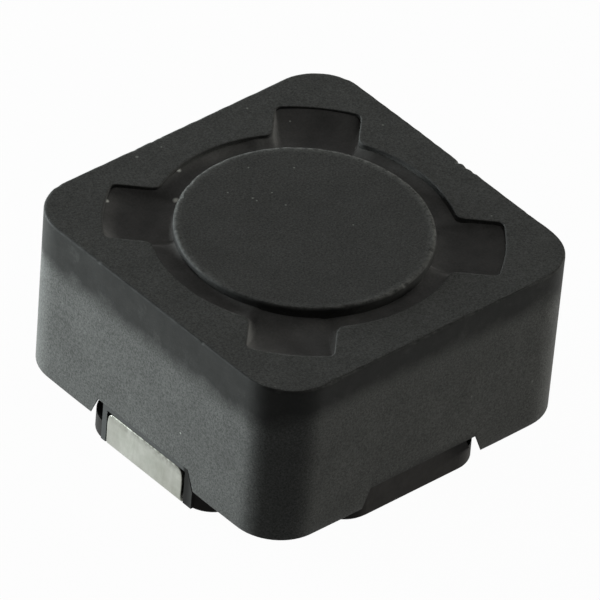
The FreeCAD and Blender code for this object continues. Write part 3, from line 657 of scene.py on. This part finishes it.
# the outer wall's stations: as far along the straight side and then round the corner
straight = half_side - corner_radius
past_slot = (inside_y - slot_foot - flare) / (diagonal - slot_foot - flare)
past_slot = past_slot.clip(0) * (straight - slot_foot + corner_radius * np.pi / 4)
turn = ((past_slot - (straight - slot_foot)) / corner_radius).clip(0)
facing = np.stack([np.cos(turn), np.sin(turn)], -1)
outside_y = np.interp(inside_y, [0, slot_roof + flare, slot_foot + flare], [0, slot_roof, slot_foot])
outside_y = np.where(turn > 0, straight + corner_radius * np.sin(turn), outside_y + past_slot)
outside = np.stack([straight + corner_radius * np.cos(turn), outside_y], -1)

inside, outside, facing = ring(inside), ring(outside), ring(facing)
inward = outside - inside
inward /= np.linalg.norm(inward, axis=1, keepdims=True)
bearing = np.arctan2(outside[:, 1], outside[:, 0])
from_middle = np.where(np.abs(facing).max(1) > 0.9999, np.abs(outside).min(1), half_side)
slot_rise = slot_height * ((slot_foot - from_middle) / (slot_foot - slot_roof)).clip(0, 1)
foot_z = shield_low.z + slot_rise

# the top outer edge's rounding, with crumbs broken out of it at (degrees, width in degrees, depth)
shield_edge = 0.08
crumbs = [(-2.1, 0.7, 0.13), (-5.2, 0.9, 0.08), (-8.3, 0.6, 0.06), (105, 0.8, 0.04), (98.5, 0.7, 0.03),
          (95.6, 0.5, 0.03), (127.5, 0.6, 0.04), (158, 0.6, 0.03), (201, 0.7, 0.03), (224, 0.5, 0.04),
          (236, 0.8, 0.03), (262, 0.6, 0.03), (306, 0.5, 0.04), (331, 0.6, 0.03), (40, 0.7, 0.03)]
chip = bumps(bearing, crumbs)
fine_waver, slow_waver = edge_waver * ripple(bearing, 11, 70, 20), edge_waver * ripple(bearing, 12, 12, 3)
edge_round = (shield_edge + fine_waver + slow_waver).clip(shield_edge / 2) + chip

# the section's closed outline, row by row, with how worn and how polished each row is
rows, worn, polish = [], [], []


def lay(plan, height, wear=0.0, polish_and_shade_share=0.0):
    """Adds one row to the shield's section: its plan, its height and its two marks."""
    rows.append(np.column_stack([plan, 0 * foot_z + height]))
    worn.append(0 * foot_z + wear)
    polish.append(0 * foot_z + polish_and_shade_share)


# The outer wall leans in towards the foot. A darker band under the top edge is painted shade: full to
# 0.9 mm down and gone at 2.2 mm on the terminals' sides, and less deep on the other two. One plain side
# also has painted shade over its slot, strongest at the foot.
wall_foot = 0.05
shade_band_full = 0.4 + 0.5 * facing[:, 0] ** 2
shade_band_end = 1.6 + 0.6 * facing[:, 0] ** 2
over_slot = 0.6 * (facing[:, 1] < -0.9) * slot_rise / slot_height
for share in 1 - (1 - np.linspace(0, 1, 26)) ** 1.3:
    z = foot_z + wall_foot + (shield_top - edge_round - foot_z - wall_foot) * share
    lean_in = lean * (shield_top - z) / (shield_top - shield_low.z)
    fade = ((shield_top - z - shade_band_full) / (shade_band_end - shade_band_full)).clip(0, 1)
    shade_band = 1 - fade ** 2 * (3 - 2 * fade)
    shaded_foot = over_slot * np.exp(-(z - foot_z) / 0.2)
    lay(outside - lean_in[:, None] * facing, z, polish_and_shade_share=np.maximum(shade_band, shaded_foot))

# The rounded edge is a quarter circle, rubbed pale in stretches, but hardly over the left terminal. Its
# lower rows carry on the band's painted shade, which dulls the light that the rounding catches.
shy = 1 - 0.85 * (-facing[:, 0]).clip(0)
stretches = (1 + 0.9 * ripple(bearing, 14, 30, 5)).clip(0)
for degrees, rub, polish_and_shade_share in ((15, 0.25, 1), (30, 0.6, 1), (45, 0.9, 0.97), (60, 0.9, 0.87), (75, 0.5, 0.64),
                            (90, 0.2, 0)):
    back_in = edge_round * (1 - np.cos(np.radians(degrees)))
    down = edge_round * (1 - np.sin(np.radians(degrees)))
    bare = 0.12 * rub * shy * stretches + 4 * chip
    lay(outside - back_in[:, None] * facing, shield_top - down, bare, polish_and_shade_share)

# The ground top, as far as the bore's lip.
lip_round = 0.03
edge = outside - edge_round[:, None] * facing
mouth = inside + lip_round * inward
for share in np.linspace(0.03, 0.97, 24):
    lay(edge + share * (mouth - edge), shield_top)

# The bore's lip and wall. The lip is darkened, painted shade that dulls the light it catches. The wall is a
# little darker all round for its smoother finish, and more where it faces the left light, painted shade for
# the disc's shadow: sunny says how far it does, as a mean over nine stations.
ahead = np.roll(inside, -1, 0) - np.roll(inside, 1, 0)
ahead /= np.linalg.norm(ahead, axis=1, keepdims=True)
sunny = (0.44 * ahead[:, 1] + 0.9 * ahead[:, 0]).clip(0, 1)
sunny = np.convolve(np.concatenate([sunny[-4:], sunny, sunny[:4]]), np.ones(9) / 9, "valid")
lip_rub = (0.5 + 0.5 * ripple(bearing, 15, 20, 4)).clip(0, 1)
for out, down, rub, polish_and_shade_share in ((lip_round, 0, 0, 0), (0.015, 0.004, 0.1, 0.7), (0.004, 0.015, 0.08, 0.8),
                              (0, lip_round, 0, 0.8)):
    lay(inside + out * inward, shield_top - down, rub * lip_rub, polish_and_shade_share)
bore_foot = 0.04
for share in np.linspace(0.02, 1, 16):
    lay(inside, shield_top - lip_round - (shield_top - (lip_round + bore_foot) - foot_z) * share,
        polish_and_shade_share=0.3 + 0.7 * sunny)

# The foot, which is also the roof and the end walls of the slots.
foot_edge = outside - lean * facing
for share in (0.03, 0.2, 0.4, 0.6, 0.8, 0.97):
    lay(inside + share * (foot_edge - inside), foot_z)

shield = skin("shield", np.array(rows), closed=True, wear=np.array(worn), polish=np.array(polish))
shield_grains = [(-1.85, 5.88, shield_top, 0.05), (5.5, 2.6, shield_top, 0.035),
                 (5.2, -2.9, shield_top, 0.03), (2.59, 5.76, shield_top, 0.03),
                 (-0.9, 5.82, shield_top, 0.03), (-6.21, -1.72, 2.76, 0.035)]
shield.data.materials.append(ferrite("pressed shield ferrite", (0.08, 0.081, 0.077), 0.6, shield_grains))
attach(shield, "root")
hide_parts("shield_core")

# Casting resin
# Black resin poured round the top disc and into the notches. It wetted the walls, so its surface hollows
# between them, and it set satin, with a few grains of dust on it.

fill_low, _ = (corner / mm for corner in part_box("core_epoxy"))
resin_down = 0.34
up_disc = 0.14
up_wall = 0.2
bore_angle = np.arctan2(inside[:, 1], inside[:, 0])
core = disc * np.stack([np.cos(bore_angle), np.sin(bore_angle)], -1)
gap = np.linalg.norm(inside - core, axis=1)
# where the resin climbed further: two stretches of the bore and the outer walls of some notches, each at
# (degrees, width in degrees, height)
brim = bumps(bore_angle, [(112, 9, 0.08), (147, 5, 0.12), (68, 3, 0.04), (45, 16, 0.08), (-150, 10, 0.07)])
rows = [np.column_stack([core, 0 * gap + fill_low.z])]
for share in np.sin(np.linspace(0, np.pi / 2, 26)) ** 2:
    from_disc, from_wall = share * gap, (1 - share) * gap
    climb = (up_wall + brim) * (1 - 0.85 * sunny) * np.exp(-(from_wall / 0.5) ** 1.3)
    depth = resin_down - up_disc * (1 - 0.6 * sunny) * np.exp(-from_disc / 0.2) - climb
    rows.append(np.column_stack([core + share * (inside - core), shield_top - depth]))
rows.append(np.column_stack([inside, 0 * gap + fill_low.z]))
fill = skin("resin", np.array(rows), closed=True)


def casting_resin():
    """Black resin with slow and fine unevenness, faint specks and a few larger grains of dust."""
    dark, light = (0.07, 0.069, 0.066, 1), (0.112, 0.11, 0.105, 1)
    speck, dust = (0.2, 0.2, 0.18, 1), (0.9, 0.91, 0.84, 1)
    dust_places = [(-2.08, 3.71, 6.56, 0.09), (-1.14, 4.72, 6.7, 0.09), (-3.93, 4.85, 6.7, 0.08),
                   (-1.97, 3.6, 6.56, 0.06), (3.45, 4.67, 6.6, 0.04), (3.44, 4.06, 6.55, 0.04)]
    made, tree, shader = material("black casting resin", Roughness=0.5, Specular_IOR_Level=0.06)
    slow = noise(tree, 0.8, 3.0)
    fine = noise(tree, 0.08, 3.0, 0.7)
    colour = mix(tree, ramp(tree, slow, 0.3, 0.7), dark, light)
    colour = mix(tree, 1.0, colour, ramp(tree, fine, 0.35, 0.65, 0.88, 1.12), "MULTIPLY")
    colour = mix(tree, math(tree, "MULTIPLY", specks(tree, 0.6, 0.035, 0.3), 0.5), colour, speck)
    colour = mix(tree, spots(tree, dust_places), colour, dust)
    tree.links.new(colour, shader.inputs["Base Color"])
    relief = node(tree, "Bump", Height=slow, Strength=0.3, Distance=0.06 * mm)
    tree.links.new(relief.outputs[0], shader.inputs["Normal"])
    return made


fill.data.materials.append(casting_resin())
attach(fill, "root")
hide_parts("core_epoxy")

# Floor, light and camera
# A plain pale floor, white where the camera sees it, two soft side lights, one above, and a long lens.
# Lengths from here on are in metres, apart from the camera's.


def seen_directly(tree):
    """1 for rays from the camera, a gloss or a clear piece, and 0 for light that falls on the object."""
    ray = node(tree, "LightPath").outputs
    by_piece = math(tree, "MAXIMUM", ray["Is Glossy Ray"], ray["Is Transmission Ray"])
    return math(tree, "MAXIMUM", ray["Is Camera Ray"], by_piece)


reach = 3
floor_mesh = bpy.data.meshes.new("floor")
floor_corners = [(-reach, -reach, 0), (reach, -reach, 0), (reach, reach, 0), (-reach, reach, 0)]
floor_mesh.from_pydata(floor_corners, [], [(0, 1, 2, 3)])
floor = bpy.data.objects.new("floor", floor_mesh)
bpy.context.scene.collection.objects.link(floor)
paper = bpy.data.materials.new("white paper")
paper.use_nodes = True
tree = paper.node_tree
tree.nodes.clear()
lit = node(tree, "BsdfDiffuse", Color=(0.5, 0.5, 0.5, 1))
white = node(tree, "Emission", Color=(1, 1, 1, 1), Strength=1.0)
whiteness = math(tree, "MULTIPLY", seen_directly(tree), 0.975)
cover = node(tree, "MixShader", Fac=whiteness, i1=lit.outputs[0], i2=white.outputs[0])
tree.links.new(cover.outputs[0], node(tree, "OutputMaterial").inputs["Surface"])
floor_mesh.materials.append(paper)

world = bpy.data.worlds.new("studio")
bpy.context.scene.world = world
world.use_nodes = True
tree = world.node_tree
tree.nodes.clear()
dim = node(tree, "Background", Color=(1, 1, 1, 1), Strength=0.035)
bright = node(tree, "Background", Color=(1, 1, 1, 1), Strength=1.0)
cover = node(tree, "MixShader", Fac=seen_directly(tree), i1=dim.outputs[0], i2=bright.outputs[0])
tree.links.new(cover.outputs[0], node(tree, "OutputWorld").inputs["Surface"])

object_middle = Vector((0, 0, 0.0035))


def lamp(name, way, distance, wide, high, level, colour):
    """A soft rectangular light looking at the object from this way.

    Level 1 lights a facing surface so that it shows its own colour: the power for that is pi squared times
    the distance squared.
    """
    light = bpy.data.lights.new(name, "AREA")
    light.shape = "RECTANGLE"
    light.size, light.size_y = wide, high
    light.energy = level * np.pi ** 2 * distance ** 2
    light.color = colour
    holder = bpy.data.objects.new(name, light)
    way = Vector(way).normalized()
    turned = way.to_track_quat("Z", "Y").to_matrix().to_4x4()
    holder.matrix_world = Matrix.Translation(object_middle + way * distance) @ turned
    bpy.context.scene.collection.objects.link(holder)


lamp("left light", (-0.44, 0.898, 0.066), 0.12, 0.045, 0.018, 3.25, (0.93, 1.0, 1.02))
lamp("right light", (0.94, -0.342, 0.13), 0.2, 0.08, 0.03, 0.77, (1.0, 1.0, 0.95))
lamp("top light", (-0.1, 0.2, 1.0), 0.25, 0.12, 0.12, 0.09, (1.0, 1.0, 0.98))

# The camera's place and tilt fit the part's corners in the photograph. It stands this far back from the
# aim and a little to the right and up, in millimetres, and its lens shows one radian as this many pixels.
azimuth, elevation, roll = np.radians([-43.874, 38.138, 4.941])
aim = np.array([0, 0, 3.85])
to_right, to_up, to_back = 0.056, 0.13, 383.662
pixels_a_radian = 12310.0
pixels_across = 600
outward = np.cos(elevation)
back = np.array([np.sin(azimuth) * outward, -np.cos(azimuth) * outward, np.sin(elevation)])
level_right = np.array([np.cos(azimuth), np.sin(azimuth), 0])
level_up = np.cross(back, level_right)
right = np.cos(roll) * level_right + np.sin(roll) * level_up
upward = np.cross(back, right)
place = aim + to_right * right + to_up * upward + to_back * back
camera = bpy.data.objects.new("camera", bpy.data.cameras.new("camera"))
camera.data.sensor_width = 36.0
camera.data.lens = camera.data.sensor_width * pixels_a_radian / pixels_across
camera.data.clip_start = 0.05
camera.data.clip_end = 10.0
turned = Matrix(np.column_stack([right, upward, back]).tolist()).to_4x4()
camera.matrix_world = Matrix.Translation(place * mm) @ turned
bpy.context.scene.collection.objects.link(camera)
bpy.context.scene.camera = camera
bpy.context.scene.view_settings.view_transform = "Standard"
